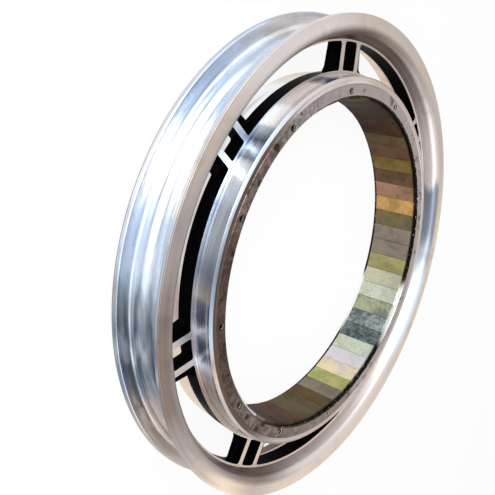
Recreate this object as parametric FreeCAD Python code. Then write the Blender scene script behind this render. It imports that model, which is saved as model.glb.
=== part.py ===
import FreeCAD, Part
import math
import os

# Rotor wheel of a hub motor, in millimetres.
# The wheel axis is Z and the open front, with the bolt circle, faces +Z.
# The origin lies on the axis, halfway between the two end faces of the drum.
# The first tapped hole of the bolt circle lies on +X.

# Radii are stacked outwards from the bore of the steel yoke, wall by wall.

# Hub drum, a plain turned tube with the steel yoke pressed into it.
DRUM_LENGTH = 55.6
DRUM_WALL = 6.8
DRUM_EDGE_WIDTH = 2.4
DRUM_EDGE_DEPTH = 2.0
DRUM_MOUTH_CHAMFER = 0.5
GROOVE_WIDTH = 1.4
GROOVE_DEPTH = 0.9

# Steel yoke, or back iron, that carries the magnets and the tapped holes.
PRESS_CLEARANCE = 0.04
YOKE_BORE_RADIUS = 162.4
YOKE_WALL = 10.76
YOKE_BORE_CHAMFER = 0.9
YOKE_RIM_CHAMFER = 0.45
BOLT_INSET = 5.1
BOLT_COUNT = 12
TAP_RADIUS = 2.5

# Block magnets, set edge to edge round the yoke bore.
MAGNET_COUNT = 56
MAGNET_LENGTH = 46.6
MAGNET_THICKNESS = 2.6
MAGNET_JOINT = 0.12
MAGNET_SEAT_GAP = 0.05
MAGNET_EDGE = 0.3
MAGNET_CLOCKING = 1.7

# Spoke web between drum and rim.
WEB_FRONT_Z = 9.6
WEB_REAR_Z = -5.6
HUB_RING_WIDTH = 3.4
HUB_RING_DRAFT = 1.2
SPOKE_LENGTH = 25.5
FRONT_RIM_LEDGE = 1.7
REAR_RIM_LEDGE = 1.0
SPOKE_PAIRS = 7
SPOKE_CLOCKING = 31.9
SPOKE_SPACING = 25.2
SPOKE_WIDTH = 6.0
SPOKE_DRAFT = 2.0
CORNER_AT_HUB = 1.8
CORNER_AT_RIM = 3.2
CUT_OVERRUN = 1.5

# Unmachined shoulder along the outer side of each spoke, lower than its face.
SHOULDER_DROP = 4.6
SHOULDER_EDGE = 5.0
SHOULDER_AT_RIM = 8.3
SHOULDER_AT_HUB = 10.8
SHOULDER_FLARE = 3.4
SHOULDER_FLARE_RUN = 5.0
SHOULDER_ROOT = 1.2

# Tyre rim with drop centre.
RIM_WALL = 9.4
SEAT_FALL = 0.6
SEAT_SPACING = 40.5
FLANGE_HEIGHT = 13.9
FLANGE_LEAN = 0.8
RIM_WIDTH = 52.0
WELL_DEPTH = 5.2
WELL_WIDTH = 13.0
WELL_SLOPE = 5.0
WALL_LEAN = 4.8
REAR_WALL_LEAN = 5.5
FLANGE_MOUTH_FILLET = 9.0
FLANGE_EDGE = 0.6
FLANGE_TIP_BEVEL = 1.3

# Valve hole through the well, in the middle of one window.
VALVE_HOLE_RADIUS = 4.15
VALVE_WINDOW = 5

FULL_TURN = 360.0
HALF_LENGTH = DRUM_LENGTH / 2
HALF_RIM = RIM_WIDTH / 2
HALF_SEAT = SEAT_SPACING / 2
BOLT_CIRCLE_RADIUS = YOKE_BORE_RADIUS + BOLT_INSET
YOKE_RADIUS = YOKE_BORE_RADIUS + YOKE_WALL
DRUM_BORE_RADIUS = YOKE_RADIUS + PRESS_CLEARANCE
DRUM_RADIUS = DRUM_BORE_RADIUS + DRUM_WALL
HUB_RING_RADIUS = DRUM_RADIUS + HUB_RING_WIDTH
WINDOW_RADIUS = HUB_RING_RADIUS + SPOKE_LENGTH
SEAT_RADIUS = WINDOW_RADIUS + RIM_WALL
WELL_RADIUS = SEAT_RADIUS - WELL_DEPTH
FLANGE_RADIUS = SEAT_RADIUS + FLANGE_HEIGHT

AXIS = FreeCAD.Vector(0, 0, 1)
CENTRE = FreeCAD.Vector(0, 0, 0)


def corner_arc(before, corner, after, fillet):
    """Start, middle and end of the arc that rounds one outline corner."""
    back = (before - corner).normalize()
    ahead = (after - corner).normalize()
    half_angle = back.getAngle(ahead) / 2
    run = fillet / math.tan(half_angle)
    rise = fillet / math.sin(half_angle) - fillet
    inward = (back + ahead).normalize()
    return corner + back * run, corner + inward * rise, corner + ahead * run


def turned(corners):
    """Solid of revolution round Z from (radius, height, fillet) corners."""
    points = [FreeCAD.Vector(radius, 0, height) for radius, height, _ in corners]
    edges = []
    stops = []
    for index, (_, _, fillet) in enumerate(corners):
        corner = points[index]
        if fillet:
            after = points[(index + 1) % len(points)]
            start, middle, end = corner_arc(points[index - 1], corner, after, fillet)
            edges.append(Part.Arc(start, middle, end).toShape())
            stops.append((start, end))
        else:
            stops.append((corner, corner))
    for index, (start, _) in enumerate(stops):
        edges.append(Part.makeLine(stops[index - 1][1], start))
    outline = Part.Wire(Part.__sortEdges__(edges))
    return Part.Face(outline).revolve(CENTRE, AXIS, FULL_TURN)


def half_outline(web_height, ledge, wall_lean):
    """Front half of the wheel outline, from drum bore to rim well."""
    well_edge = WELL_WIDTH / 2
    tip_wall = HALF_SEAT + FLANGE_LEAN
    ledge_radius = WINDOW_RADIUS + ledge
    return [
        (DRUM_BORE_RADIUS, HALF_LENGTH, 0),
        (DRUM_RADIUS, HALF_LENGTH, 0),
        (DRUM_RADIUS, web_height, 0),
        (ledge_radius, web_height, 0),
        (ledge_radius + wall_lean, HALF_RIM, FLANGE_MOUTH_FILLET),
        (FLANGE_RADIUS - FLANGE_EDGE, HALF_RIM, 0),
        (FLANGE_RADIUS, HALF_RIM - FLANGE_EDGE, 0),
        (FLANGE_RADIUS, tip_wall + FLANGE_TIP_BEVEL, 0),
        (FLANGE_RADIUS - FLANGE_TIP_BEVEL, tip_wall, 0),
        (SEAT_RADIUS, HALF_SEAT, 0),
        (SEAT_RADIUS - SEAT_FALL, well_edge + WELL_SLOPE, 0),
        (WELL_RADIUS, well_edge, 0),
    ]


def mirrored(corners):
    """The same corners below the middle plane, in reverse order."""
    return [(radius, -height, fillet) for radius, height, fillet in reversed(corners)]


def wheel_blank():
    """Drum, solid web and rim turned as one outline."""
    front = half_outline(WEB_FRONT_Z, FRONT_RIM_LEDGE, WALL_LEAN)
    rear = half_outline(-WEB_REAR_Z, REAR_RIM_LEDGE, REAR_WALL_LEAN)
    return turned(front + mirrored(rear))


def drum_edge_cuts():
    """Turned bevels at both drum ends, inside and outside."""
    outer = turned([
        (DRUM_RADIUS - DRUM_EDGE_WIDTH, HALF_LENGTH, 0),
        (DRUM_RADIUS, HALF_LENGTH - DRUM_EDGE_DEPTH, 0),
        (DRUM_RADIUS + CUT_OVERRUN, HALF_LENGTH - DRUM_EDGE_DEPTH, 0),
        (DRUM_RADIUS + CUT_OVERRUN, HALF_LENGTH + CUT_OVERRUN, 0),
        (DRUM_RADIUS - DRUM_EDGE_WIDTH, HALF_LENGTH + CUT_OVERRUN, 0),
    ])
    mouth_radius = DRUM_BORE_RADIUS + DRUM_MOUTH_CHAMFER
    inner = turned([
        (mouth_radius, HALF_LENGTH, 0),
        (mouth_radius, HALF_LENGTH + CUT_OVERRUN, 0),
        (DRUM_BORE_RADIUS - CUT_OVERRUN, HALF_LENGTH + CUT_OVERRUN, 0),
        (DRUM_BORE_RADIUS - CUT_OVERRUN, HALF_LENGTH - DRUM_MOUTH_CHAMFER, 0),
        (DRUM_BORE_RADIUS, HALF_LENGTH - DRUM_MOUTH_CHAMFER, 0),
    ])
    front = outer.fuse(inner)
    return front.fuse(front.mirror(CENTRE, AXIS))


def relief_groove():
    """Tool relief turned into the hub ring at the foot of the drum."""
    return turned([
        (DRUM_RADIUS, WEB_FRONT_Z - GROOVE_DEPTH, 0),
        (DRUM_RADIUS + GROOVE_WIDTH, WEB_FRONT_Z - GROOVE_DEPTH, 0),
        (DRUM_RADIUS + GROOVE_WIDTH, WEB_FRONT_Z + CUT_OVERRUN, 0),
        (DRUM_RADIUS, WEB_FRONT_Z + CUT_OVERRUN, 0),
    ])


def spoke_prism(side):
    """One straight spoke with draft, along +X and beside the pair's middle."""
    middle = side * SPOKE_SPACING / 2
    depth = WEB_FRONT_Z - WEB_REAR_Z
    flare = SPOKE_DRAFT / depth * CUT_OVERRUN / 2
    front_half = SPOKE_WIDTH / 2 + flare
    rear_half = (SPOKE_WIDTH - SPOKE_DRAFT) / 2 - flare
    top = WEB_FRONT_Z + CUT_OVERRUN
    bottom = WEB_REAR_Z - CUT_OVERRUN
    section = [
        FreeCAD.Vector(DRUM_BORE_RADIUS, middle - front_half, top),
        FreeCAD.Vector(DRUM_BORE_RADIUS, middle + front_half, top),
        FreeCAD.Vector(DRUM_BORE_RADIUS, middle + rear_half, bottom),
        FreeCAD.Vector(DRUM_BORE_RADIUS, middle - rear_half, bottom),
    ]
    face = Part.Face(Part.makePolygon(section + [section[0]]))
    reach = SEAT_RADIUS - DRUM_BORE_RADIUS
    return face.extrude(FreeCAD.Vector(reach, 0, 0))


def spoke_angle(index):
    """Direction of the middle of one spoke pair, in degrees."""
    return SPOKE_CLOCKING + index * FULL_TURN / SPOKE_PAIRS


def upright_edges(solid, near_hub):
    """Corner edges of one window that run from face to face of the web."""
    depth = WEB_FRONT_Z - WEB_REAR_Z
    middle = (HUB_RING_RADIUS + WINDOW_RADIUS) / 2
    chosen = []
    for edge in solid.Edges:
        if edge.BoundBox.ZLength < depth:
            continue
        point = edge.CenterOfMass
        at_hub = math.hypot(point.x, point.y) < middle
        if at_hub == near_hub:
            chosen.append(edge)
    return chosen


def web_openings():
    """The windows and pockets that leave the spoke pairs standing."""
    depth = WEB_FRONT_Z - WEB_REAR_Z
    slope = HUB_RING_DRAFT / depth * CUT_OVERRUN
    band = turned([
        (HUB_RING_RADIUS + slope, WEB_FRONT_Z + CUT_OVERRUN, 0),
        (WINDOW_RADIUS, WEB_FRONT_Z + CUT_OVERRUN, 0),
        (WINDOW_RADIUS, WEB_REAR_Z - CUT_OVERRUN, 0),
        (HUB_RING_RADIUS - HUB_RING_DRAFT - slope, WEB_REAR_Z - CUT_OVERRUN, 0),
    ])
    spokes = []
    for index in range(SPOKE_PAIRS):
        for side in (-1, 1):
            spoke = spoke_prism(side)
            spoke.rotate(CENTRE, AXIS, spoke_angle(index))
            spokes.append(spoke)
    openings = []
    for opening in band.cut(spokes).Solids:
        opening = opening.makeFillet(CORNER_AT_HUB, upright_edges(opening, True))
        opening = opening.makeFillet(CORNER_AT_RIM, upright_edges(opening, False))
        openings.append(opening)
    return openings


def shoulder_plan(side):
    """Solid over the shoulder's outline seen along Z, beside the pair's middle."""
    middle = side * SPOKE_SPACING / 2
    spoke_edge = (SPOKE_SPACING + SPOKE_WIDTH) / 2
    at_hub = spoke_edge + SHOULDER_AT_HUB
    at_rim = spoke_edge + SHOULDER_AT_RIM
    taper = (at_rim - at_hub) / SPOKE_LENGTH
    flare_start = HUB_RING_RADIUS + SHOULDER_FLARE_RUN
    outline = [
        (DRUM_BORE_RADIUS, middle),
        (SEAT_RADIUS, middle),
        (SEAT_RADIUS, side * (at_rim + taper * RIM_WALL)),
        (flare_start, side * (at_hub + taper * SHOULDER_FLARE_RUN)),
        (HUB_RING_RADIUS, side * (at_hub + SHOULDER_FLARE)),
        (DRUM_BORE_RADIUS, side * (at_hub + SHOULDER_FLARE + HUB_RING_WIDTH)),
    ]
    points = [FreeCAD.Vector(x, y, WEB_REAR_Z) for x, y in outline]
    face = Part.Face(Part.makePolygon(points + [points[0]]))
    height = WEB_FRONT_Z - SHOULDER_DROP - WEB_REAR_Z
    return face.extrude(FreeCAD.Vector(0, 0, height))


def shoulder_underside(side):
    """Solid that takes off the sloping underside of one shoulder."""
    spoke_edge = (SPOKE_SPACING + SPOKE_WIDTH) / 2
    at_hub = side * (spoke_edge + SHOULDER_AT_HUB)
    at_rim = side * (spoke_edge + SHOULDER_AT_RIM)
    hub_end = FreeCAD.Vector(HUB_RING_RADIUS, at_hub, 0)
    rim_end = FreeCAD.Vector(WINDOW_RADIUS, at_rim, 0)
    along = rim_end - hub_end
    outward = side * AXIS.cross(along).normalize()
    edge_z = WEB_FRONT_Z - SHOULDER_DROP - SHOULDER_EDGE
    reach = SHOULDER_AT_HUB + SPOKE_WIDTH
    beyond = SHOULDER_FLARE + HUB_RING_WIDTH + CUT_OVERRUN
    section = [
        (-reach, WEB_REAR_Z),
        (0, edge_z),
        (beyond, edge_z),
        (beyond, WEB_REAR_Z - CUT_OVERRUN),
        (-reach, WEB_REAR_Z - CUT_OVERRUN),
    ]
    start = hub_end - along
    end = rim_end + along
    points = [start + outward * run + AXIS * height for run, height in section]
    face = Part.Face(Part.makePolygon(points + [points[0]]))
    return face.extrude(end - start)


def spoke_shoulders():
    """The shoulders of all spokes, ending inside hub ring and rim."""
    band = turned([
        (DRUM_RADIUS - SHOULDER_ROOT, WEB_FRONT_Z, 0),
        (WINDOW_RADIUS + SHOULDER_ROOT, WEB_FRONT_Z, 0),
        (WINDOW_RADIUS + SHOULDER_ROOT, WEB_REAR_Z, 0),
        (DRUM_RADIUS - SHOULDER_ROOT, WEB_REAR_Z, 0),
    ])
    shoulders = []
    for side in (-1, 1):
        blank = shoulder_plan(side).cut(shoulder_underside(side)).common(band)
        for index in range(SPOKE_PAIRS):
            shoulder = blank.copy()
            shoulder.rotate(CENTRE, AXIS, spoke_angle(index))
            shoulders.append(shoulder)
    return shoulders


def valve_hole():
    """Radial hole through the well floor, midway between two spoke pairs."""
    reach = SEAT_RADIUS - HUB_RING_RADIUS
    hole = Part.makeCylinder(
        VALVE_HOLE_RADIUS,
        reach,
        FreeCAD.Vector(HUB_RING_RADIUS, 0, 0),
        FreeCAD.Vector(1, 0, 0),
    )
    half_pitch = FULL_TURN / SPOKE_PAIRS / 2
    hole.rotate(CENTRE, AXIS, spoke_angle(VALVE_WINDOW) + half_pitch)
    return hole


def cast_wheel():
    """The one aluminium casting: drum, spoke pairs and tyre rim."""
    wheel = wheel_blank().cut([drum_edge_cuts(), relief_groove(), valve_hole()])
    return wheel.cut(web_openings()).fuse(spoke_shoulders())


def tapped_hole(angle):
    """One hole through the whole length of the yoke, tapped from both ends."""
    foot = FreeCAD.Vector(BOLT_CIRCLE_RADIUS, 0, -HALF_LENGTH - CUT_OVERRUN)
    hole = Part.makeCylinder(TAP_RADIUS, DRUM_LENGTH + 2 * CUT_OVERRUN, foot, AXIS)
    hole.rotate(CENTRE, AXIS, angle)
    return hole


def yoke_ring():
    """Steel ring with bevelled edges and its circle of tapped holes."""
    half = [
        (YOKE_BORE_RADIUS, HALF_LENGTH - YOKE_BORE_CHAMFER, 0),
        (YOKE_BORE_RADIUS + YOKE_BORE_CHAMFER, HALF_LENGTH, 0),
        (YOKE_RADIUS - YOKE_RIM_CHAMFER, HALF_LENGTH, 0),
        (YOKE_RADIUS, HALF_LENGTH - YOKE_RIM_CHAMFER, 0),
    ]
    ring = turned(half + mirrored(half))
    pitch = FULL_TURN / BOLT_COUNT
    return ring.cut([tapped_hole(index * pitch) for index in range(BOLT_COUNT)])


def magnet(index):
    """One flat block magnet, its rear corners against the yoke bore."""
    pitch = FULL_TURN / MAGNET_COUNT
    seat = YOKE_BORE_RADIUS - MAGNET_SEAT_GAP
    half_pitch = math.radians(pitch / 2)
    face_distance = seat * math.cos(half_pitch) - MAGNET_THICKNESS
    width = 2 * face_distance * math.tan(half_pitch) - MAGNET_JOINT
    corner = FreeCAD.Vector(face_distance, -width / 2, -MAGNET_LENGTH / 2)
    block = Part.makeBox(MAGNET_THICKNESS, width, MAGNET_LENGTH, corner)
    long_edges = [edge for edge in block.Edges if edge.Length > width + MAGNET_EDGE]
    block = block.makeChamfer(MAGNET_EDGE, long_edges)
    block.rotate(CENTRE, AXIS, MAGNET_CLOCKING + index * pitch)
    return block


def build():
    """Every node by name."""
    nodes = {"cast_wheel": cast_wheel(), "yoke_ring": yoke_ring()}
    for index in range(MAGNET_COUNT):
        nodes["magnet_%02d" % (index + 1)] = magnet(index)
    return nodes


os.makedirs("parts", exist_ok=True)
for name, shape in build().items():
    shape.exportStep("parts/%s.step" % name)
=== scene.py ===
import math

import bmesh
import bpy
from mathutils import Matrix, Vector


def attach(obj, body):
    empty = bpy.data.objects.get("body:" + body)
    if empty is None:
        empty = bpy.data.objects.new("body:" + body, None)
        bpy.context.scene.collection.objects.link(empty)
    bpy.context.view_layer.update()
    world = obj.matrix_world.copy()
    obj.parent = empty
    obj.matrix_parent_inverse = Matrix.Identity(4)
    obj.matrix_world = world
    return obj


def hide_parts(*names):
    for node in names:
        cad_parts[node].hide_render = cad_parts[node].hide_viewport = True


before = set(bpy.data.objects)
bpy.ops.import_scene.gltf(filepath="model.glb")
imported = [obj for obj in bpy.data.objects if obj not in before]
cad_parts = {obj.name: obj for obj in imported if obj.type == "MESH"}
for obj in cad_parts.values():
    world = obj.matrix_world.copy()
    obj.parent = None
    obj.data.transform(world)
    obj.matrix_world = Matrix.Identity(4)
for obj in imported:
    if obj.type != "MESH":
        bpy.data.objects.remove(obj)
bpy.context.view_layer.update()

MM = 0.001
TURN = 2 * math.pi

# Drum and web, in millimetres, as in the solids.
HALF_LENGTH = 27.8
DRUM_BORE = 173.2
DRUM_RADIUS = 180.0
DRUM_EDGE_WIDTH = 2.4
DRUM_EDGE_DEPTH = 2.0
DRUM_MOUTH_CHAMFER = 0.5
GROOVE_WIDTH = 1.4
GROOVE_DEPTH = 0.9
WEB_FRONT = 9.6
WEB_REAR = -5.6
HUB_RING = 183.4
HUB_DRAFT = 1.2
WINDOW_RADIUS = 208.9
HUB_CORNER = 1.8
RIM_CORNER = 3.2
SPOKE_PAIRS = 7
SPOKE_CLOCKING = math.radians(31.9)
SPOKE_OFFSET = 12.6
SPOKE_HALF_FRONT = 3.0
SPOKE_HALF_REAR = 2.0

# Shoulder beside each spoke: the height of its top, the thickness of its outer
# edge, its widths, its flare at the hub and how far it reaches into drum and rim.
SHOULDER_TOP = 5.0
SHOULDER_EDGE = 5.0
SHOULDER_AT_RIM = 8.3
SHOULDER_AT_HUB = 10.8
SHOULDER_FLARE = 3.4
SHOULDER_FLARE_RUN = 5.0
SHOULDER_ROOT_SPREAD = 1.5
SHOULDER_IN_DRUM = 3.0
SHOULDER_IN_RIM = 1.1
SHOULDER_ROUND = 0.7

# Rim, with a bead seat on each side of a deeper well.
FRONT_LEDGE = 210.6
REAR_LEDGE = 209.9
FRONT_WALL_LEAN = 4.8
REAR_WALL_LEAN = 5.5
HALF_RIM = 26.0
FLANGE_RADIUS = 232.2
FLANGE_LEAN = 0.8
SEAT_RADIUS = 218.3
SEAT_FALL = 0.6
HALF_SEAT = 20.25
WELL_RADIUS = 213.1
HALF_WELL = 6.5
WELL_SLOPE = 5.0
VALVE_RADIUS = 4.15
VALVE_WINDOW = 5

# Radii that round the corners of drum, web and rim.
DRUM_ROUND = 0.15
FRONT_LEDGE_ROUND = 1.4
REAR_LEDGE_ROUND = 1.0
FLANGE_MOUTH_ROUND = 9.0
FLANGE_EDGE_ROUND = 0.6
FLANGE_TIP_ROUND = 1.6
SEAT_ROUND = 4.5
WELL_ROUND = 5.0

# Yoke and magnets.
YOKE_BORE = 162.4
YOKE_RADIUS = 173.16
YOKE_BORE_CHAMFER = 0.9
YOKE_RIM_CHAMFER = 0.45
BOLT_CIRCLE = 167.5
BOLT_COUNT = 12
TAP_RADIUS = 2.5
TAP_BREAK = 0.5
MAGNET_COUNT = 56
MAGNET_ROUND = 0.15

# How far beyond the finished faces the cutting shapes, and the shoulders before
# they are cut, are made to run.
OPENING_OVERRUN = 2.0
DRILL_OVERRUN = 1.0
SHOULDER_OVERRUN = 1.0
VALVE_OVERRUN = 8.9

# Fineness of the meshes.
LATHE_SEGMENTS = 540
ROUNDING_STEPS = 6
CORNER_STEPS = 5
WINDOW_ARC_POINTS = 60
POCKET_ARC_POINTS = 8
FLARE_STEPS = 6
DRILL_SIDES = 32
SHOULDER_ROUND_STEPS = 3
MAGNET_ROUND_STEPS = 2

# Bends that get rounded on the shoulders, in radians, and that stay crisp when
# a surface is shaded smooth, in degrees.
ROUNDED_BEND = 0.6
SHARP_DEGREES = 24

# Tints of the metals and of their painted reflections and shade, from light to dark, cold ones first.
WHITE = (1.0, 1.0, 1.0)
MILK = (0.97, 0.985, 1.0)
ICE = (0.66, 0.75, 0.88)
STEEL = (0.40, 0.445, 0.505)
HAZE = (0.25, 0.32, 0.42)
SLATE = (0.185, 0.22, 0.275)
NAVY = (0.08, 0.10, 0.155)
SMOKE = (0.045, 0.06, 0.085)
INK = (0.03, 0.04, 0.065)
BUFF = (0.82, 0.66, 0.53)
PEARL = (0.66, 0.60, 0.585)
FAWN = (0.66, 0.55, 0.465)
SAND = (0.50, 0.425, 0.375)
TAN = (0.36, 0.31, 0.30)
CLAY = (0.235, 0.175, 0.15)
UMBER = (0.105, 0.067, 0.05)
TAR = (0.012, 0.011, 0.010)

# Turns round the axis are counted from a seam at the lower right of the
# photograph, which lies this share of a turn before the X axis.
SEAM = 0.19

# Painted reflections and shade round each turned face of the wheel: tints with their angles in degrees.
CHANNEL_TINTS = [
    (60, STEEL), (98, PEARL), (110, ICE), (121, ICE), (130, ICE), (143, MILK), (151, MILK), (158, ICE),
    (168, ICE), (174, STEEL), (180, SLATE), (184, STEEL), (188, SLATE), (193, SLATE), (197, TAN),
    (206, SAND), (225, SAND), (270, STEEL),
]
FLANGE_TINTS = [
    (-60, FAWN), (-5, FAWN), (25, SAND), (80, SAND), (105, PEARL), (120, PEARL), (140, SAND), (160, TAN),
    (176, CLAY), (192, CLAY), (203, TAN), (212, SAND), (224, BUFF), (238, SAND), (252, FAWN),
]
MOUTH_TINTS = [
    (-80, PEARL), (-52, PEARL), (-38, ICE), (-22, ICE), (-12, STEEL), (-4, SLATE), (9, SLATE), (13, PEARL),
    (28, PEARL), (48, TAN), (68, CLAY), (85, UMBER), (105, CLAY), (120, TAN), (215, TAN), (240, CLAY),
    (262, PEARL),
]
REAR_MOUTH_TINTS = [
    (-72, UMBER), (-45, SAND), (0, SAND), (40, BUFF), (90, BUFF), (200, SAND), (236, UMBER),
]
WEB_TINTS = [
    (-60, FAWN), (60, SAND), (100, SAND), (130, ICE), (160, ICE), (185, PEARL), (205, SAND), (240, FAWN),
]
DRUM_TINTS = [
    (-60, SAND), (60, SAND), (94, PEARL), (97, NAVY), (101, NAVY), (103, PEARL), (115, PEARL), (118, MILK),
    (124, MILK), (126, STEEL), (130, NAVY), (133, ICE), (135, SLATE), (138, MILK), (141, MILK), (145, ICE),
    (150, STEEL), (157, STEEL), (166, SLATE), (172, TAN), (174, NAVY), (178, NAVY), (181, STEEL), (184, NAVY),
    (188, NAVY), (191, ICE), (195, TAN), (200, CLAY), (215, SAND), (250, CLAY),
]
REAR_DRUM_TINTS = [
    (-60, SAND), (60, BUFF), (96, BUFF), (110, MILK), (128, MILK), (142, PEARL), (152, SAND), (178, SAND),
    (186, BUFF), (235, BUFF), (250, SAND),
]
BEVEL_TINTS = [
    (-60, SAND), (80, SAND), (112, PEARL), (124, ICE), (142, ICE), (152, STEEL), (165, SLATE), (182, SLATE),
    (190, CLAY), (202, TAN), (215, SAND), (245, TAN),
]
LIP_TINTS = [
    (-60, SAND), (80, SAND), (110, TAN), (135, UMBER), (190, UMBER), (218, UMBER), (240, SAND),
]

# Tints round the yoke's faces, and those of the dark band round its bore, which is black glue with painted
# shade in the recess and a short painted white reflection.
YOKE_TINTS = [
    (-80, CLAY), (-40, TAN), (40, TAN), (100, TAN), (118, TAN), (130, CLAY), (148, CLAY), (162, UMBER),
    (198, UMBER), (214, CLAY), (255, CLAY),
]
GLUE_SHADE_REFLECTION_TINTS = [
    (-53, TAR), (-48, PEARL), (-42, MILK), (-27, MILK), (-22, TAR), (60, TAR), (180, TAR),
]

# Rust stains on the yoke's front face: degrees, radius and size in millimetres.
RUST_STAINS = [
    (128.3, 168.5, 4.4),
    (139.0, 164.5, 3.8),
    (159.6, 164.5, 3.0),
    (172.0, 168.9, 2.2),
    (224.4, 172.0, 5.5),
    (227.1, 164.5, 4.5),
    (216.7, 168.1, 4.0),
    (238.0, 164.0, 3.6),
    (161.7, 164.5, 2.0),
    (115.4, 172.0, 1.6),
    (185.8, 165.6, 2.5),
    (196.2, 166.5, 2.2),
]

# Light and dark tone of each look of the magnets, partly the plating's colour and partly a painted
# reflection, and how blotchy it is.
PLATED_AND_REFLECTED_TONES = {
    "umber": ((0.085, 0.048, 0.024), (0.05, 0.026, 0.012), 0.3),
    "bronze": ((0.145, 0.10, 0.048), (0.085, 0.058, 0.03), 0.4),
    "rust_brown": ((0.15, 0.085, 0.052), (0.09, 0.05, 0.03), 0.4),
    "old_gold": ((0.22, 0.15, 0.045), (0.13, 0.09, 0.028), 0.4),
    "rose": ((0.36, 0.20, 0.125), (0.21, 0.125, 0.075), 0.5),
    "bright_gold": ((0.62, 0.37, 0.13), (0.36, 0.21, 0.075), 0.5),
    "olive": ((0.15, 0.117, 0.072), (0.10, 0.078, 0.048), 0.5),
    "olive_brown": ((0.19, 0.145, 0.07), (0.12, 0.10, 0.055), 0.6),
    "warm_grey": ((0.25, 0.21, 0.165), (0.17, 0.145, 0.12), 0.6),
    "moss": ((0.36, 0.33, 0.15), (0.25, 0.235, 0.10), 0.6),
    "khaki": ((0.52, 0.51, 0.36), (0.40, 0.40, 0.30), 0.7),
    "mint": ((0.60, 0.64, 0.53), (0.42, 0.48, 0.37), 0.7),
    "lichen": ((0.38, 0.40, 0.27), (0.18, 0.20, 0.16), 1.0),
    "slate": ((0.30, 0.36, 0.35), (0.10, 0.13, 0.13), 1.0),
    "deep_slate": ((0.17, 0.21, 0.22), (0.05, 0.065, 0.065), 1.0),
    "lilac": ((0.66, 0.62, 0.66), (0.54, 0.54, 0.52), 0.5),
    "cream": ((0.80, 0.66, 0.42), (0.58, 0.52, 0.50), 0.7),
    "yellow_green": ((0.46, 0.46, 0.18), (0.33, 0.33, 0.135), 0.6),
}

# The plating colour and painted reflection of each magnet, from magnet_01 on.
MAGNET_PLATED_AND_REFLECTED = (
    "olive_brown bright_gold rose rust_brown old_gold rust_brown bronze umber umber umber umber "
    "umber bronze umber rust_brown bronze old_gold khaki moss warm_grey rose bronze mint khaki "
    "slate lichen warm_grey old_gold bronze rust_brown umber moss khaki mint lilac warm_grey "
    "rust_brown umber rust_brown rust_brown olive olive bronze warm_grey yellow_green cream "
    "lilac mint deep_slate slate lichen mint khaki moss warm_grey warm_grey"
).split()

# The camera in the part's frame: its right, up and backward directions, its
# place and nearest clipping in metres, and its lens and sensor in millimetres.
CAMERA_RIGHT = Vector((0.650046, 0.015803, 0.759731))
CAMERA_UP = Vector((0.256863, 0.936364, -0.239256))
CAMERA_BACK = Vector((-0.715165, 0.350674, 0.604620))
CAMERA_PLACE = Vector((-0.49285, 0.23268, 0.32787))
CLIP_START = 0.01
LENS = 46.116
SENSOR_WIDTH = 36.0

# Floor, with lengths in metres, and the light from all round.
FLOOR_REACH = 6.0
FLOOR_GAP = 0.0005
FLOOR_GREY = (0.8, 0.8, 0.8)
FLOOR_WHITE_SHARE = 0.93
SKY = (0.92, 0.95, 1.0)
SKY_STRENGTH = 0.55


def rounded(corners):
    """Outline points of (radius, height, fillet) corners, with the arcs worked out."""
    points = []
    for index, (radius, height, fillet) in enumerate(corners):
        corner = Vector((radius, height))
        if not fillet:
            points.append(corner)
            continue
        back = (Vector(corners[index - 1][:2]) - corner).normalized()
        ahead = (Vector(corners[(index + 1) % len(corners)][:2]) - corner).normalized()
        half = back.angle(ahead) / 2
        middle = corner + (back + ahead).normalized() * (fillet / math.sin(half))
        start = corner + back * (fillet / math.tan(half)) - middle
        end = corner + ahead * (fillet / math.tan(half)) - middle
        for step in range(ROUNDING_STEPS + 1):
            share = step / ROUNDING_STEPS
            points.append(middle + start.slerp(end, share).normalized() * fillet)
    return points


def mirrored(corners):
    """The same corners behind the middle plane, in reverse order."""
    return [(radius, -height, fillet) for radius, height, fillet in reversed(corners)]


def outward(mesh):
    """The mesh with all its faces looking out."""
    work = bmesh.new()
    work.from_mesh(mesh)
    bmesh.ops.recalc_face_normals(work, faces=work.faces)
    work.to_mesh(mesh)
    work.free()
    return mesh


def placed(name, mesh):
    """A new object in the scene with this mesh."""
    obj = bpy.data.objects.new(name, mesh)
    bpy.context.scene.collection.objects.link(obj)
    return obj


def lathe(name, corners):
    """Closed ring turned round Z from an outline in millimetres."""
    outline = rounded(corners)
    rows = len(outline)
    verts = []
    for segment in range(LATHE_SEGMENTS):
        angle = TURN * segment / LATHE_SEGMENTS
        across = math.cos(angle) * MM
        along = math.sin(angle) * MM
        verts += [(p.x * across, p.x * along, p.y * MM) for p in outline]
    faces = []
    for segment in range(LATHE_SEGMENTS):
        here = segment * rows
        there = (segment + 1) % LATHE_SEGMENTS * rows
        for row in range(rows):
            up = (row + 1) % rows
            faces.append((here + row, there + row, there + up, here + up))
    mesh = bpy.data.meshes.new(name)
    mesh.from_pydata(verts, [], faces)
    return outward(mesh)


def prism(name, lower, upper):
    """Closed solid between two outlines of as many points, in millimetres."""
    count = len(lower)
    verts = [p * MM for p in lower + upper]
    faces = [tuple(range(count)), tuple(range(2 * count - 1, count - 1, -1))]
    for index in range(count):
        after = (index + 1) % count
        faces.append((index, count + index, count + after, after))
    mesh = bpy.data.meshes.new(name)
    mesh.from_pydata(verts, [], faces)
    return outward(mesh)


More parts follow.
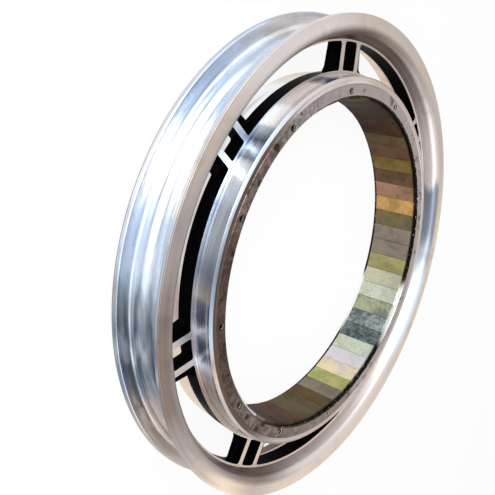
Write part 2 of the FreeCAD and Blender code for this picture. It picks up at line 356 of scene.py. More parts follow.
def round_bar(name, foot, axis, steps):
    """Closed round bar on an axis through foot, in millimetres.

    steps are (distance from foot, radius) along the axis.
    """
    turn = axis.to_track_quat("Z", "Y")
    angles = [TURN * (index + 0.5) / DRILL_SIDES for index in range(DRILL_SIDES)]
    work = bmesh.new()
    rings = []
    for height, radius in steps:
        spots = [Vector((math.cos(a) * radius, math.sin(a) * radius, height)) for a in angles]
        rings.append([work.verts.new((foot + turn @ spot) * MM) for spot in spots])
    work.faces.new(rings[0])
    work.faces.new(rings[-1])
    for lower, upper in zip(rings, rings[1:]):
        for index in range(DRILL_SIDES):
            after = (index + 1) % DRILL_SIDES
            work.faces.new((lower[index], lower[after], upper[after], upper[index]))
    mesh = bpy.data.meshes.new(name)
    work.to_mesh(mesh)
    work.free()
    return outward(mesh)


def cut(obj, tools, joins=()):
    """Take the tools' volume from obj and add that of the joins.

    The new walls take the materials of the shapes that made them, and those
    shapes are removed.
    """
    for tool in [*tools, *joins]:
        modifier = obj.modifiers.new("cut", "BOOLEAN")
        modifier.operation = "UNION" if tool in joins else "DIFFERENCE"
        modifier.object = tool
        modifier.solver = "EXACT"
        modifier.material_mode = "TRANSFER"
    bpy.context.view_layer.update()
    graph = bpy.context.evaluated_depsgraph_get()
    mesh = bpy.data.meshes.new_from_object(obj.evaluated_get(graph), depsgraph=graph)
    obj.modifiers.clear()
    obj.data = mesh
    for tool in [*tools, *joins]:
        bpy.data.objects.remove(tool)


def smooth(obj):
    """Smooth shading that leaves the sharp edges crisp."""
    obj.data.shade_smooth()
    obj.data.set_sharp_from_angle(angle=math.radians(SHARP_DEGREES))


def corner_points(line, side, radius, fillet, outside, pair_angle):
    """Arc that rounds the corner between a straight spoke wall and a ring wall.

    The wall lies at a distance `line` from the pair's middle line, the opening
    on the `side` (+1 or -1) of it. Points run from the wall to the ring.
    """
    reach = radius - fillet if outside else radius + fillet
    across = line + side * fillet
    along = math.sqrt(reach * reach - across * across)
    centre = Vector((along, across))
    on_wall = Vector((along, line)) - centre
    on_ring = centre.normalized() * (fillet if outside else -fillet)
    points = []
    for step in range(CORNER_STEPS + 1):
        spot = centre + on_wall.slerp(on_ring, step / CORNER_STEPS).normalized() * fillet
        points.append(Matrix.Rotation(pair_angle, 2) @ spot)
    return points


def ring_points(start, end, radius, count):
    """Points on a ring wall between the directions of start and end."""
    begin = math.atan2(start.y, start.x)
    sweep = (math.atan2(end.y, end.x) - begin + math.pi) % TURN - math.pi
    angles = [begin + sweep * (index + 1) / (count + 1) for index in range(count)]
    return [Vector((math.cos(a), math.sin(a))) * radius for a in angles]


def opening_outline(first, second, half_width, hub, rim, height):
    """Outline of the opening between two spoke walls at one height.

    first and second are (pair angle, side of that pair's middle line).
    """
    start_angle, start_side = first
    end_angle, end_side = second
    start_line = start_side * SPOKE_OFFSET + half_width
    end_line = end_side * SPOKE_OFFSET - half_width
    outer_start = corner_points(start_line, 1, rim, RIM_CORNER, True, start_angle)
    outer_end = corner_points(end_line, -1, rim, RIM_CORNER, True, end_angle)
    inner_end = corner_points(end_line, -1, hub, HUB_CORNER, False, end_angle)
    inner_start = corner_points(start_line, 1, hub, HUB_CORNER, False, start_angle)
    count = POCKET_ARC_POINTS if start_angle == end_angle else WINDOW_ARC_POINTS
    points = outer_start
    points += ring_points(outer_start[-1], outer_end[-1], rim, count)
    points += outer_end[::-1] + inner_end
    points += ring_points(inner_end[-1], inner_start[-1], hub, count)
    points += inner_start[::-1]
    return [Vector((p.x, p.y, height)) for p in points]


def web_cutters(paint):
    """Window and pocket shapes that leave the spoke pairs standing."""
    tools = []
    depth = WEB_FRONT - WEB_REAR
    slope = HUB_DRAFT / depth * OPENING_OVERRUN
    taper = (SPOKE_HALF_FRONT - SPOKE_HALF_REAR) / depth * OPENING_OVERRUN
    for index in range(SPOKE_PAIRS):
        angle = SPOKE_CLOCKING + index * TURN / SPOKE_PAIRS
        after = angle + TURN / SPOKE_PAIRS
        pocket = ((angle, -1), (angle, 1))
        window = ((angle, 1), (after, -1))
        for first, second in (pocket, window):
            top = opening_outline(
                first, second, SPOKE_HALF_FRONT + taper,
                HUB_RING + slope, WINDOW_RADIUS, WEB_FRONT + OPENING_OVERRUN,
            )
            bottom = opening_outline(
                first, second, SPOKE_HALF_REAR - taper,
                HUB_RING - HUB_DRAFT - slope, WINDOW_RADIUS, WEB_REAR - OPENING_OVERRUN,
            )
            mesh = prism("opening", bottom, top)
            mesh.materials.append(paint)
            tools.append(placed("opening", mesh))
    return tools


def shoulder_plan():
    """Outline seen along Z of one shoulder, beside a spoke that lies along +X."""
    spoke_edge = SPOKE_OFFSET + SPOKE_HALF_FRONT
    at_hub = spoke_edge + SHOULDER_AT_HUB
    at_rim = spoke_edge + SHOULDER_AT_RIM
    taper = (at_rim - at_hub) / (WINDOW_RADIUS - HUB_RING)
    root = DRUM_RADIUS - SHOULDER_IN_DRUM
    tip = WINDOW_RADIUS + SHOULDER_IN_RIM
    plan = [(root, SPOKE_OFFSET), (tip, SPOKE_OFFSET), (tip, at_rim + taper * SHOULDER_IN_RIM)]
    for step in range(FLARE_STEPS + 1):
        turn = math.pi / 2 * step / FLARE_STEPS
        run = SHOULDER_FLARE_RUN * (1 - math.sin(turn))
        rise = SHOULDER_FLARE * (1 - math.cos(turn))
        plan.append((HUB_RING + run, at_hub + taper * run + rise))
    plan.append((root, at_hub + SHOULDER_FLARE + SHOULDER_ROOT_SPREAD))
    return plan


def shoulder(side):
    """Shoulder beside the spoke on one side of the pair that lies along +X.

    Its top is flat, and its underside falls from the outer edge to the spoke.
    """
    plan = shoulder_plan()
    lower = [Vector((x, y * side, WEB_REAR - SHOULDER_OVERRUN)) for x, y in plan]
    upper = [Vector((x, y * side, SHOULDER_TOP)) for x, y in plan]
    mesh = prism("shoulder", lower, upper)
    at_hub = SPOKE_OFFSET + SPOKE_HALF_FRONT + SHOULDER_AT_HUB
    taper = (SHOULDER_AT_RIM - SHOULDER_AT_HUB) / (WINDOW_RADIUS - HUB_RING)
    edge_height = SHOULDER_TOP - SHOULDER_EDGE
    hub_end = Vector((HUB_RING, at_hub * side, edge_height))
    along = Vector((1, taper * side, 0))
    reach = SHOULDER_AT_HUB + 2 * SPOKE_HALF_FRONT
    inward = Vector((0, -side * reach, WEB_REAR - edge_height))
    normal = along.cross(inward).normalized()
    if normal.z > 0:
        normal.negate()
    work = bmesh.new()
    work.from_mesh(mesh)
    bmesh.ops.bisect_plane(
        work, geom=work.verts[:] + work.edges[:] + work.faces[:],
        plane_co=hub_end * MM, plane_no=normal, clear_outer=True,
    )
    bmesh.ops.holes_fill(work, edges=[e for e in work.edges if e.is_boundary])
    bmesh.ops.recalc_face_normals(work, faces=work.faces)
    bent = [e for e in work.edges if e.calc_face_angle(0) > ROUNDED_BEND]
    bmesh.ops.bevel(
        work, geom=bent, offset=SHOULDER_ROUND * MM, segments=SHOULDER_ROUND_STEPS, affect="EDGES",
    )
    work.to_mesh(mesh)
    work.free()
    return mesh


def spoke_shoulders(paint):
    """The painted shoulders of all spokes in one object."""
    joined = bmesh.new()
    for side in (-1, 1):
        mesh = shoulder(side)
        for index in range(SPOKE_PAIRS):
            angle = SPOKE_CLOCKING + index * TURN / SPOKE_PAIRS
            turned = mesh.copy()
            turned.transform(Matrix.Rotation(angle, 4, "Z"))
            joined.from_mesh(turned)
    mesh = bpy.data.meshes.new("shoulders")
    joined.to_mesh(mesh)
    joined.free()
    mesh.materials.append(paint)
    return placed("shoulders", mesh)


def half_outline(drum_foot, ledge, ledge_height, ledge_round, wall_lean):
    """Front half of the wheel's outline, from drum bore to rim well."""
    return [
        (DRUM_BORE, HALF_LENGTH - DRUM_MOUTH_CHAMFER, 0),
        (DRUM_BORE + DRUM_MOUTH_CHAMFER, HALF_LENGTH, 0),
        (DRUM_RADIUS - DRUM_EDGE_WIDTH, HALF_LENGTH, DRUM_ROUND),
        (DRUM_RADIUS, HALF_LENGTH - DRUM_EDGE_DEPTH, DRUM_ROUND),
        *drum_foot,
        (ledge, ledge_height, ledge_round),
        (ledge + wall_lean, HALF_RIM, FLANGE_MOUTH_ROUND),
        (FLANGE_RADIUS, HALF_RIM, FLANGE_EDGE_ROUND),
        (FLANGE_RADIUS, HALF_SEAT + FLANGE_LEAN, FLANGE_TIP_ROUND),
        (SEAT_RADIUS, HALF_SEAT, SEAT_ROUND),
        (SEAT_RADIUS - SEAT_FALL, HALF_WELL + WELL_SLOPE, WELL_ROUND),
        (WELL_RADIUS, HALF_WELL, WELL_ROUND),
    ]


def wheel_outline():
    """Outline of drum, web and rim, with the relief groove at the front."""
    groove = [
        (DRUM_RADIUS, WEB_FRONT - GROOVE_DEPTH, 0),
        (DRUM_RADIUS + GROOVE_WIDTH, WEB_FRONT - GROOVE_DEPTH, 0),
        (DRUM_RADIUS + GROOVE_WIDTH, WEB_FRONT, DRUM_ROUND),
    ]
    plain_foot = [(DRUM_RADIUS, -WEB_REAR, 0)]
    front = half_outline(groove, FRONT_LEDGE, WEB_FRONT, FRONT_LEDGE_ROUND, FRONT_WALL_LEAN)
    rear = half_outline(plain_foot, REAR_LEDGE, -WEB_REAR, REAR_LEDGE_ROUND, REAR_WALL_LEAN)
    return front + mirrored(rear)


def build_wheel(metal, paint):
    """Casting with painted windows and pockets, in place of its solid."""
    mesh = lathe("cast_wheel_look", wheel_outline())
    mesh.materials.append(metal)
    wheel = placed("cast_wheel_look", mesh)
    tools = web_cutters(paint)
    valve_angle = SPOKE_CLOCKING + (VALVE_WINDOW + 0.5) * TURN / SPOKE_PAIRS
    outwards = Vector((math.cos(valve_angle), math.sin(valve_angle), 0))
    drill = round_bar("valve_cut", Vector(), outwards, [
        (WINDOW_RADIUS - VALVE_OVERRUN, VALVE_RADIUS),
        (WELL_RADIUS + VALVE_OVERRUN, VALVE_RADIUS),
    ])
    drill.materials.append(metal)
    tools.append(placed("valve_cut", drill))
    cut(wheel, tools, [spoke_shoulders(paint)])
    smooth(wheel)
    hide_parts("cast_wheel")
    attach(wheel, "root")


def build_yoke(steel, bright):
    """Yoke ring with its tapped holes, in place of its solid."""
    half = [
        (YOKE_BORE, HALF_LENGTH - YOKE_BORE_CHAMFER, 0),
        (YOKE_BORE + YOKE_BORE_CHAMFER, HALF_LENGTH, 0),
        (YOKE_RADIUS - YOKE_RIM_CHAMFER, HALF_LENGTH, 0),
        (YOKE_RADIUS, HALF_LENGTH - YOKE_RIM_CHAMFER, 0),
    ]
    mesh = lathe("yoke_look", half + mirrored(half))
    mesh.materials.append(steel)
    yoke = placed("yoke_look", mesh)
    hole = [
        (HALF_LENGTH - TAP_BREAK, TAP_RADIUS),
        (HALF_LENGTH + DRILL_OVERRUN, TAP_RADIUS + TAP_BREAK + DRILL_OVERRUN),
    ]
    hole = [(-height, radius) for height, radius in reversed(hole)] + hole
    tools = []
    for index in range(BOLT_COUNT):
        angle = TURN * index / BOLT_COUNT
        foot = Vector((math.cos(angle), math.sin(angle), 0)) * BOLT_CIRCLE
        drill = round_bar("tap_cut", foot, Vector((0, 0, 1)), hole)
        drill.materials.append(bright)
        tools.append(placed("tap_cut", drill))
    cut(yoke, tools)
    smooth(yoke)
    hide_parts("yoke_ring")
    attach(yoke, "root")


class Shader:
    """A node material built step by step, with its coordinates in metres."""

    def __init__(self, name):
        self.material = bpy.data.materials.new(name)
        self.material.use_nodes = True
        self.tree = self.material.node_tree
        self.surface = self.tree.nodes["Principled BSDF"]
        coords = self.node("ShaderNodeTexCoord")
        self.place = coords.outputs["Object"]
        split = self.node("ShaderNodeSeparateXYZ")
        self.link(self.place, split.inputs[0])
        self.x, self.y, self.z = split.outputs
        self.depth = self.math("ABSOLUTE", self.z)
        flat = self.vector("MULTIPLY", self.place, (1, 1, 0))
        self.radius = self.vector("LENGTH", flat.outputs[0]).outputs["Value"]

    def node(self, kind):
        """A new node of this kind."""
        return self.tree.nodes.new(kind)

    def link(self, output, target):
        """Join one node's output to another's input."""
        self.tree.links.new(output, target)

    def feed(self, value, target):
        """Set an input to a number or colour, or join it to an output."""
        if isinstance(value, (int, float)):
            target.default_value = value
        elif isinstance(value, tuple):
            target.default_value = (*value, 1)
        else:
            self.link(value, target)

    def math(self, operation, a, b=0.0, c=0.0):
        """Result of one sum on up to three values."""
        made = self.node("ShaderNodeMath")
        made.operation = operation
        for value, target in zip((a, b, c), made.inputs):
            self.feed(value, target)
        return made.outputs[0]

    def times(self, a, b):
        """Product of two values."""
        return self.math("MULTIPLY", a, b)

    def vector(self, operation, joined, fixed=None):
        """Vector sum of one node's output and, if given, fixed numbers."""
        made = self.node("ShaderNodeVectorMath")
        made.operation = operation
        self.link(joined, made.inputs[0])
        if fixed is not None:
            made.inputs[1].default_value = fixed
        return made

    def ramp(self, value, low, high, start=0.0, end=1.0):
        """Go smoothly from start to end while value goes from low to high."""
        made = self.node("ShaderNodeMapRange")
        made.interpolation_type = "SMOOTHSTEP"
        self.feed(value, made.inputs["Value"])
        self.feed(low, made.inputs["From Min"])
        self.feed(high, made.inputs["From Max"])
        self.feed(start, made.inputs["To Min"])
        self.feed(end, made.inputs["To Max"])
        return made.outputs[0]

    def past(self, value, edge, width):
        """0 up to the edge and 1 beyond a border of this width, in millimetres."""
        return self.ramp(value, edge * MM, (edge + width) * MM)

    def short_of(self, value, edge, width):
        """1 up to the edge and 0 beyond a border of this width, in millimetres."""
        return self.ramp(value, edge * MM, (edge + width) * MM, 1.0, 0.0)

    def mix(self, share, a, b):
        """Colour a where share is 0 and b where it is 1."""
        made = self.node("ShaderNodeMix")
        made.data_type = "RGBA"
        self.feed(share, made.inputs[0])
        self.feed(a, made.inputs[6])
        self.feed(b, made.inputs[7])
        return made.outputs[2]

    def noise(self, scale, detail, roughness, offset, distortion=0.0):
        """Cloudy noise from 0 to 1."""
        shifted = self.vector("ADD", self.place, (offset, offset, offset))
        made = self.node("ShaderNodeTexNoise")
        self.link(shifted.outputs[0], made.inputs["Vector"])
        made.inputs["Scale"].default_value = scale
        made.inputs["Detail"].default_value = detail
        made.inputs["Roughness"].default_value = roughness
        made.inputs["Distortion"].default_value = distortion
        return made.outputs["Fac"]

    def turned(self, along, across, detail, offset=0.0):
        """Noise drawn out round the axis, as a lathe tool leaves it."""
        stretch = self.vector("MULTIPLY", self.place, (along, along, across))
        made = self.node("ShaderNodeTexNoise")
        made.noise_dimensions = "4D"
        self.link(stretch.outputs[0], made.inputs["Vector"])
        self.link(self.math("MULTIPLY_ADD", self.radius, across, offset), made.inputs["W"])
        made.inputs["Scale"].default_value = 1.0
        made.inputs["Detail"].default_value = detail
        return made.outputs["Fac"]

    def scratches(self, scale, thin, offset):
        """Sparse thin marks along the borders of bent cells."""
        warp = self.node("ShaderNodeTexNoise")
        self.link(self.place, warp.inputs["Vector"])
        warp.inputs["Scale"].default_value = scale * 0.3
        warp_reach = (0.02, 0.02, 0.02)
        moved = self.vector("MULTIPLY_ADD", warp.outputs["Color"], warp_reach)
        self.link(self.place, moved.inputs[2])
        cells = self.node("ShaderNodeTexVoronoi")
        cells.feature = "DISTANCE_TO_EDGE"
        cells.inputs["Scale"].default_value = scale
        self.link(moved.outputs[0], cells.inputs["Vector"])
        line = self.ramp(cells.outputs["Distance"], 0.0, thin, 1.0, 0.0)
        patches = self.noise(scale * 0.6, detail=2.0, roughness=0.5, offset=offset)
        return self.times(line, self.ramp(patches, 0.56, 0.64))

    def angle(self):
        """Turn round the axis, from 0 to 1, counted from the seam."""
        around = self.math("ARCTAN2", self.y, self.x)
        return self.math("FRACT", self.math("MULTIPLY_ADD", around, 1 / TURN, SEAM))

    def drifting_angle(self, noise, most):
        """The turn round the axis, moved by noise up to this share of a turn."""
        drift = self.math("MULTIPLY_ADD", noise, 2 * most, -most)
        return self.math("ADD", self.angle(), drift)

    def sweep(self, turn, tints):
        """Tint that changes round the axis; tints are (degrees, colour)."""
        made = self.node("ShaderNodeValToRGB")
        ramp = made.color_ramp
        ramp.interpolation = "EASE"
        stops = sorted(((math.radians(d) / TURN + SEAM) % 1.0, tint) for d, tint in tints)
        stops = [(0.0, stops[0][1])] + stops + [(1.0, stops[0][1])]
        for _ in stops[2:]:
            ramp.elements.new(0.5)
        for element, (spot, tint) in zip(ramp.elements, stops):
            element.position = spot
            element.color = (*tint, 1)
        self.link(turn, made.inputs[0])
        return made.outputs[0]

    def stain(self, degrees, radius, size):
        """Ragged round spot at one place of the front face, in millimetres."""
        core = size * 1.2 * MM
        border = size * 1.9 * MM
        raggedness = size * 1.6 * MM
        turn = math.radians(degrees)
        spot = Vector((radius * math.cos(turn), radius * math.sin(turn), HALF_LENGTH)) * MM
        away = self.vector("SUBTRACT", self.place, spot)
        distance = self.vector("LENGTH", away.outputs[0]).outputs["Value"]
        ragged = self.noise(230.0, detail=5.0, roughness=0.7, offset=degrees * 0.37)
        spread = self.math("MULTIPLY_ADD", ragged, raggedness, distance)
        return self.ramp(spread, core, border, 1.0, 0.0)

    def bump(self, height, distance, strength):
        """Relief in the surface."""
        made = self.node("ShaderNodeBump")
        made.inputs["Distance"].default_value = distance
        made.inputs["Strength"].default_value = strength
        self.feed(height, made.inputs["Height"])
        self.link(made.outputs[0], self.surface.inputs["Normal"])

    def around(self, amount):
        """Turned grain, so that highlights spread across it."""
        tangent = self.node("ShaderNodeTangent")
        tangent.direction_type = "RADIAL"
        tangent.axis = "Z"
        self.link(tangent.outputs[0], self.surface.inputs["Tangent"])
        self.surface.inputs["Anisotropic"].default_value = amount

    def finish(self, color, roughness, metallic=1.0):
        """The material, with its colour, roughness and metal share."""
        self.feed(color, self.surface.inputs["Base Color"])
        self.feed(roughness, self.surface.inputs["Roughness"])
        self.feed(metallic, self.surface.inputs["Metallic"])
        return self.material


def wheel_zones(s):
    """Where each turned face of the wheel lies: 1 on it and 0 elsewhere."""
    # The middle of the rim's wall parts the channel outside it from the mouth.
    under_well = 211.5 * MM
    under_seat = 216.0 * MM
    wall_middle = s.ramp(s.depth, 9.0 * MM, 11.0 * MM, start=under_well, end=under_seat)
    outside = s.past(s.math("SUBTRACT", s.radius, wall_middle), edge=0.0, width=0.4)

    # The channel ends at a depth that grows towards the flange's tip.
    channel_end = 21.6 * MM
    tip_end = 24.6 * MM
    brim = s.ramp(s.radius, 228.5 * MM, 231.2 * MM, start=channel_end, end=tip_end)
    within = s.short_of(s.math("SUBTRACT", s.depth, brim), edge=0.0, width=0.4)
    channel = s.times(outside, within)

    wide = s.past(s.radius, edge=216.5, width=7.0)
    flange = s.times(wide, s.past(s.depth, edge=22.2, width=1.0))
    drum = s.short_of(s.radius, edge=DRUM_RADIUS + 0.2, width=0.4)
    beyond_drum = s.past(s.radius, edge=DRUM_RADIUS + 0.2, width=0.4)
    web = s.times(beyond_drum, s.short_of(s.depth, edge=WEB_FRONT + 0.3, width=0.7))
    bevel_start = HALF_LENGTH - DRUM_EDGE_DEPTH - 0.2
    lip = s.short_of(s.radius, edge=DRUM_RADIUS - DRUM_EDGE_WIDTH - 0.1, width=0.4)
    return {
        "front": s.past(s.z, edge=0.0, width=1.0),
        "channel": channel,
        "flange": s.times(flange, s.math("SUBTRACT", 1.0, channel)),
        "web": s.times(web, s.short_of(s.radius, edge=FRONT_LEDGE - 0.1, width=1.0)),
        "drum": drum,
        "drum wall": s.times(drum, s.short_of(s.depth, edge=bevel_start, width=0.2)),
        "bevel": s.times(drum, s.past(s.depth, edge=bevel_start, width=0.2)),
        "lip": s.times(lip, s.past(s.depth, edge=HALF_LENGTH - 0.4, width=0.3)),
    }


def painted_wheel_reflections(s, zones, streak):
    """Painted reflections and shade of each turned face, as they change round the wheel."""
    turn = s.drifting_angle(streak, 0.025)
    steady = s.drifting_angle(streak, 0.004)
    mouth = s.mix(zones["front"], s.sweep(turn, REAR_MOUTH_TINTS), s.sweep(turn, MOUTH_TINTS))
    drum = s.mix(zones["front"], s.sweep(turn, REAR_DRUM_TINTS), s.sweep(steady, DRUM_TINTS))
    color = s.mix(zones["channel"], mouth, s.sweep(turn, CHANNEL_TINTS))
    color = s.mix(zones["flange"], color, s.sweep(turn, FLANGE_TINTS))
    color = s.mix(zones["web"], color, s.sweep(turn, WEB_TINTS))
    color = s.mix(zones["drum"], color, drum)
    color = s.mix(zones["bevel"], color, s.sweep(turn, BEVEL_TINTS))
    return s.mix(zones["lip"], color, s.sweep(turn, LIP_TINTS))


def cold_reflection_streaks(s, color, cold, streak):
    """Painted blue streaks of cold reflection in the channel."""
    blue = s.mix(0.75, color, HAZE)
    return s.mix(s.times(cold, s.ramp(streak, 0.5, 0.66, 0.0, 0.75)), color, blue)


def wisps(s, color, polished, light, dark):
    """Thin light and dark wisps, strongest on the polished faces."""
    patchy = s.math("MULTIPLY_ADD", polished, 0.8, 0.1)
    wisp = s.turned(along=5.0, across=120.0, detail=2.0, offset=31.0)
    color = s.mix(s.times(patchy, s.ramp(wisp, 0.55, 0.68)), color, light)
    return s.mix(s.times(patchy, s.ramp(wisp, 0.45, 0.32, 0.0, 0.7)), color, dark)


def painted_shade_and_gleam(s, color, cold, channel):
    """Painted shade in dark smudges, strongest just below the channel's middle, and painted pale gleams."""
    patch_noise = s.turned(along=20.0, across=110.0, detail=3.0, offset=47.0)
    shade = s.mix(0.72, color, SMOKE)
    # Painted shade, full where Y is low in the channel and weaker higher up.
    shade_share = s.times(cold, s.ramp(s.y, 0.10, -0.03, 0.35, 1.0))
    color = s.mix(s.times(shade_share, s.ramp(patch_noise, 0.52, 0.62, 0.0, 0.8)), color, shade)
    # Painted gleams of reflected light, pale patches in the channel.
    gleam = s.mix(0.6, color, MILK)
    return s.mix(s.times(channel, s.ramp(patch_noise, 0.42, 0.32, 0.0, 0.7)), color, gleam)


def turned_aluminium():
    """Machined casting: each turned face carries painted reflections and shade that change round the axis,
    with streaks and marks.
    """
    s = Shader("turned_aluminium")
    cloud = s.noise(38.0, detail=5.0, roughness=0.6, offset=1.7, distortion=0.4)
    streak = s.turned(along=3.5, across=150.0, detail=2.5, offset=11.0)
    bands = s.turned(along=6.0, across=900.0, detail=3.0)
    fine = s.turned(along=10.0, across=5200.0, detail=2.0, offset=7.0)
    marks = s.scratches(90.0, thin=0.012, offset=5.0)
    scratched = (0.16, 0.14, 0.13)

    zones = wheel_zones(s)
    polished = s.math("MAXIMUM", zones["channel"], zones["drum"])
    satin = s.math("SUBTRACT", 1.0, polished)
    mirror = s.times(zones["drum wall"], zones["front"])
    # The channel's painted cold reflections fade towards the bottom, where it turns brown.
    cold = s.times(zones["channel"], s.ramp(s.y, -0.085, -0.055, 0.25, 1.0))

    # The colour starts from painted reflections and shade that change round the wheel.
    tint = painted_wheel_reflections(s, zones, streak)
    light = s.mix(0.5, tint, WHITE)
    dark = s.mix(0.5, tint, INK)
    color = cold_reflection_streaks(s, tint, cold, streak)
    color = wisps(s, color, polished, light, dark)
    color = painted_shade_and_gleam(s, color, cold, zones["channel"])
    color = s.mix(s.ramp(bands, 0.42, 0.7, 0.0, 0.12), color, light)
    color = s.mix(s.ramp(cloud, 0.5, 0.75, 0.0, 0.3), color, dark)
    color = s.mix(s.times(marks, 0.5), color, scratched)

    rough = s.ramp(bands, 0.3, 0.7, 0.24, 0.34)
    rough = s.math("ADD", rough, s.ramp(cloud, 0.3, 0.75, 0.0, 0.1))
    rough = s.math("MULTIPLY_ADD", satin, 0.14, rough)
    rough = s.math("MULTIPLY_ADD", mirror, -0.09, rough)
    relief = s.math("ADD", s.times(bands, 0.5), fine)
    relief = s.times(relief, s.math("MULTIPLY_ADD", satin, -0.5, 1.0))
    s.bump(s.math("SUBTRACT", relief, marks), distance=0.00003, strength=0.5)
    s.around(0.45)
    return s.finish(color, rough, metallic=s.math("MULTIPLY_ADD", mirror, -0.6, 1.0))


def black_paint():
    """Black paint with slight orange peel and dust."""
    s = Shader("black_paint")
    black = (0.0015, 0.0015, 0.002)
    dusty = (0.006, 0.008, 0.014)
    speck = (0.2, 0.2, 0.21)
    dust = s.noise(60.0, detail=4.0, roughness=0.6, offset=2.0)
    specks = s.ramp(s.noise(900.0, detail=2.0, roughness=0.5, offset=6.0), 0.74, 0.78)
    color = s.mix(s.ramp(dust, 0.55, 0.8, 0.0, 0.5), black, dusty)
    color = s.mix(s.times(specks, 0.4), color, speck)
    rough = s.ramp(dust, 0.4, 0.75, 0.24, 0.42)
    peel = s.noise(420.0, detail=2.0, roughness=0.5, offset=0.4)
    s.bump(peel, distance=0.0002, strength=0.2)
    s.surface.inputs["IOR"].default_value = 1.03
    return s.finish(color, rough, metallic=0.0)


def bright_steel():
    """Walls of the bolt holes: bright thread just inside the mouths, and near-black painted shade deeper in.
    """
    s = Shader("bright_steel")
    # Painted shade: the near-black of the holes' deeper walls.
    painted_shade = (0.004, 0.004, 0.004)
    groove = (0.55, 0.53, 0.50)
    crest = (0.95, 0.94, 0.92)
    waves = s.node("ShaderNodeTexWave")
    waves.bands_direction = "Z"
    s.link(s.place, waves.inputs["Vector"])
    waves.inputs["Scale"].default_value = 160.0
    waves.inputs["Distortion"].default_value = 0.4
    thread = waves.outputs["Fac"]
    ragged = s.noise(500.0, detail=2.0, roughness=0.5, offset=1.0)
    ragged_depth = s.math("MULTIPLY_ADD", ragged, 0.8 * MM, s.depth)
    shallow = s.past(ragged_depth, edge=25.1, width=1.0)
    lit = s.times(shallow, s.short_of(s.depth, edge=27.2, width=0.2))
    color = s.mix(lit, painted_shade, s.mix(thread, groove, crest))
    s.bump(thread, distance=0.0003, strength=0.6)
    return s.finish(color, s.ramp(thread, 0.0, 1.0, 0.22, 0.4))


def yoke_steel():
    """Ground steel with turning marks, dull patches and rust, with a dark band round the bore of black glue
    and painted shade, a painted reflection and painted glints.
    """
    s = Shader("yoke_steel")
    stained = (0.025, 0.014, 0.009)
    bare = (0.70, 0.62, 0.57)
    rusty = (0.035, 0.018, 0.010)
    cloud = s.noise(70.0, detail=6.0, roughness=0.65, offset=4.0, distortion=0.3)
    mottle = s.noise(190.0, detail=5.0, roughness=0.7, offset=8.0, distortion=0.4)
    bands = s.turned(along=8.0, across=1800.0, detail=3.0, offset=2.0)
    base = s.sweep(s.drifting_angle(cloud, 0.03), YOKE_TINTS)

    # The left side is more stained, and the right shows more bare turning marks.
    dark = s.mix(0.7, base, stained)
    pale = s.mix(0.3, base, bare)
    aged = s.ramp(s.x, 0.02, -0.12, 0.15, 0.95)
    color = s.mix(s.times(aged, s.ramp(mottle, 0.36, 0.60)), base, dark)
    ground = s.times(s.ramp(bands, 0.45, 0.7), s.ramp(s.x, 0.02, -0.12, 0.25, 0.06))
    color = s.mix(ground, color, pale)

    rust_cloud = s.noise(60.0, detail=6.0, roughness=0.75, offset=9.0, distortion=0.5)
    rust = s.ramp(rust_cloud, 0.56, 0.64, 0.0, 0.7)
    for degrees, radius, size in RUST_STAINS:
        rust = s.math("MAXIMUM", rust, s.stain(degrees, radius, size))
    color = s.mix(s.times(rust, 0.92), color, rusty)

    # Dark band round the bore behind the magnet ends: black glue with painted shade in the recess.
    ragged_radius = s.math("MULTIPLY_ADD", mottle, 1.6 * MM, s.radius)
    near_bore = s.short_of(ragged_radius, edge=163.7, width=0.4)
    glue_and_shade = s.times(near_bore, s.past(s.depth, edge=22.6, width=0.4))
    # Painted glints: white specks in the band round the bore.
    sparkle = s.noise(620.0, detail=2.0, roughness=0.5, offset=3.0)
    glint = s.ramp(sparkle, 0.66, 0.71, 0.0, 0.8)
    color = s.mix(glue_and_shade, color, s.mix(glint, s.sweep(s.angle(), GLUE_SHADE_REFLECTION_TINTS), MILK))

    rough = s.math("ADD", s.ramp(cloud, 0.3, 0.7, 0.3, 0.46), s.times(rust, 0.25))
    relief = s.math("ADD", s.math("ADD", bands, cloud), s.times(glue_and_shade, mottle))
    s.bump(relief, distance=0.00005, strength=0.6)
    s.around(0.3)
    return s.finish(color, rough)


def magnet_plating(name, light, dark, blotch, offset):
    """Nickel plating in its own tint, partly the plating's colour and partly a painted reflection."""
    s = Shader(name)
    spot = (0.05, 0.04, 0.03)
    scratched = (0.7, 0.66, 0.58)
    cloud = s.noise(38.0, detail=4.0, roughness=0.6, offset=offset, distortion=0.8)
    mottle = s.noise(260.0, detail=5.0, roughness=0.7, offset=offset + 1.0, distortion=0.6)
    speckle = s.noise(210.0, detail=4.0, roughness=0.6, offset=offset + 3.0)
    marks = s.scratches(130.0, thin=0.01, offset=offset)
    tone = s.math("MULTIPLY_ADD", s.math("SUBTRACT", mottle, 0.5), blotch, cloud)
    color = s.mix(s.ramp(tone, 0.34, 0.66), dark, light)
    color = s.mix(s.times(s.ramp(speckle, 0.62, 0.72), 0.35), color, spot)
    color = s.mix(s.times(marks, 0.3), color, scratched)
    rough = s.ramp(tone, 0.3, 0.7, 0.3, 0.46)
    s.bump(s.math("ADD", cloud, marks), distance=0.0002, strength=0.25)
    s.surface.inputs["IOR"].default_value = 1.25
    s.surface.inputs["Specular Tint"].default_value = (*light, 1)
    return s.finish(color, rough, metallic=0.6)


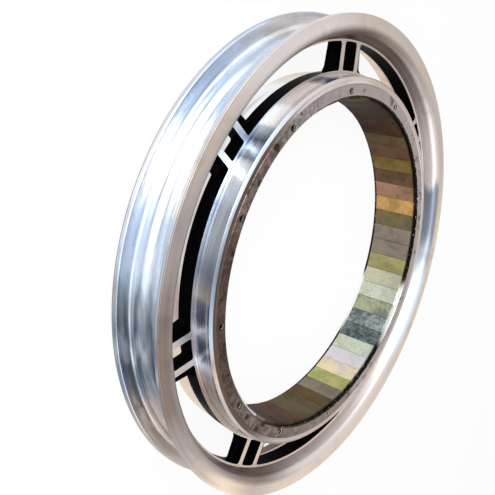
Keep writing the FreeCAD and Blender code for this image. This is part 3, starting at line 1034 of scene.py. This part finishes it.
def dress_magnets():
    """Plating and soft edges for the magnets, each in its own plating colour and painted reflection."""
    noise_shift = 2.3
    materials = {}
    for count, (plated_and_reflected, (light, dark, blotch)) in enumerate(PLATED_AND_REFLECTED_TONES.items()):
        name = "plating_and_reflection_" + plated_and_reflected
        materials[plated_and_reflected] = magnet_plating(name, light, dark, blotch, count * noise_shift)
    for index in range(MAGNET_COUNT):
        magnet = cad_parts["magnet_%02d" % (index + 1)]
        magnet.data.materials.clear()
        magnet.data.materials.append(materials[MAGNET_PLATED_AND_REFLECTED[index]])
        bevel = magnet.modifiers.new("soft_edges", "BEVEL")
        bevel.width = MAGNET_ROUND * MM
        bevel.segments = MAGNET_ROUND_STEPS


def set_camera():
    """The camera at the photograph's place and angle."""
    camera = bpy.data.cameras.new("camera")
    camera.lens = LENS
    camera.sensor_width = SENSOR_WIDTH
    camera.clip_start = CLIP_START
    obj = bpy.data.objects.new("camera", camera)
    turn = Matrix((CAMERA_RIGHT, CAMERA_UP, CAMERA_BACK)).transposed().to_4x4()
    obj.matrix_world = Matrix.Translation(CAMERA_PLACE) @ turn
    bpy.context.scene.collection.objects.link(obj)
    bpy.context.scene.camera = obj


def seen_directly(tree):
    """1 for camera, glossy and transmission rays, and 0 for all others."""
    path = tree.nodes.new("ShaderNodeLightPath")
    share = path.outputs["Is Camera Ray"]
    for ray in ("Is Glossy Ray", "Is Transmission Ray"):
        most = tree.nodes.new("ShaderNodeMath")
        most.operation = "MAXIMUM"
        tree.links.new(share, most.inputs[0])
        tree.links.new(path.outputs[ray], most.inputs[1])
        share = most.outputs[0]
    return share


def glowing(tree, kind, color, strength):
    """Output of a background or emission node of this colour and strength."""
    made = tree.nodes.new(kind)
    made.inputs[0].default_value = (*color, 1)
    made.inputs[1].default_value = strength
    return made.outputs[0]


def mixed_surface(tree, output, share, first, second):
    """Put first where share is 0 and second where it is 1 on the output node."""
    mix = tree.nodes.new("ShaderNodeMixShader")
    tree.links.new(share, mix.inputs[0])
    tree.links.new(first, mix.inputs[1])
    tree.links.new(second, mix.inputs[2])
    tree.links.new(mix.outputs[0], tree.nodes.new(output).inputs[0])


def set_world():
    """Soft light from all round, and plain white behind it and in reflections."""
    world = bpy.data.worlds.new("studio")
    bpy.context.scene.world = world
    world.use_nodes = True
    tree = world.node_tree
    tree.nodes.clear()
    soft = glowing(tree, "ShaderNodeBackground", SKY, SKY_STRENGTH)
    white = glowing(tree, "ShaderNodeBackground", WHITE, 1.0)
    mixed_surface(tree, "ShaderNodeOutputWorld", seen_directly(tree), soft, white)


def set_floor():
    """Floor just below the part, nearly white to the eye, with a faint shadow."""
    mesh = bpy.data.meshes.new("floor")
    height = -HALF_LENGTH * MM - FLOOR_GAP
    sides = [(-1, -1), (1, -1), (1, 1), (-1, 1)]
    corners = [(x * FLOOR_REACH, y * FLOOR_REACH, height) for x, y in sides]
    mesh.from_pydata(corners, [], [(0, 1, 2, 3)])
    floor = placed("floor", mesh)
    material = bpy.data.materials.new("floor")
    material.use_nodes = True
    tree = material.node_tree
    tree.nodes.clear()
    matt = tree.nodes.new("ShaderNodeBsdfDiffuse")
    matt.inputs[0].default_value = (*FLOOR_GREY, 1)
    white = glowing(tree, "ShaderNodeEmission", WHITE, 1.0)
    share = tree.nodes.new("ShaderNodeMath")
    share.operation = "MULTIPLY"
    share.inputs[1].default_value = FLOOR_WHITE_SHARE
    tree.links.new(seen_directly(tree), share.inputs[0])
    mixed_surface(tree, "ShaderNodeOutputMaterial", share.outputs[0], matt.outputs[0], white)
    mesh.materials.append(material)


def area_light(name, place, size, power):
    """Rectangular lamp that faces the wheel's centre, in metres and watts."""
    lamp = bpy.data.lights.new(name, "AREA")
    lamp.shape = "RECTANGLE"
    lamp.size, lamp.size_y = size
    lamp.energy = power
    obj = bpy.data.objects.new(name, lamp)
    obj.location = place
    obj.rotation_euler = (-Vector(place)).to_track_quat("-Z", "Y").to_euler()
    bpy.context.scene.collection.objects.link(obj)


build_wheel(turned_aluminium(), black_paint())
build_yoke(yoke_steel(), bright_steel())
dress_magnets()

set_camera()
set_world()
set_floor()
area_light("key", place=(-0.9, 1.1, 0.9), size=(0.9, 0.7), power=26)
area_light("fill", place=(-0.6, -0.9, 1.1), size=(1.2, 0.8), power=8)
bpy.context.scene.view_settings.view_transform = "Standard"
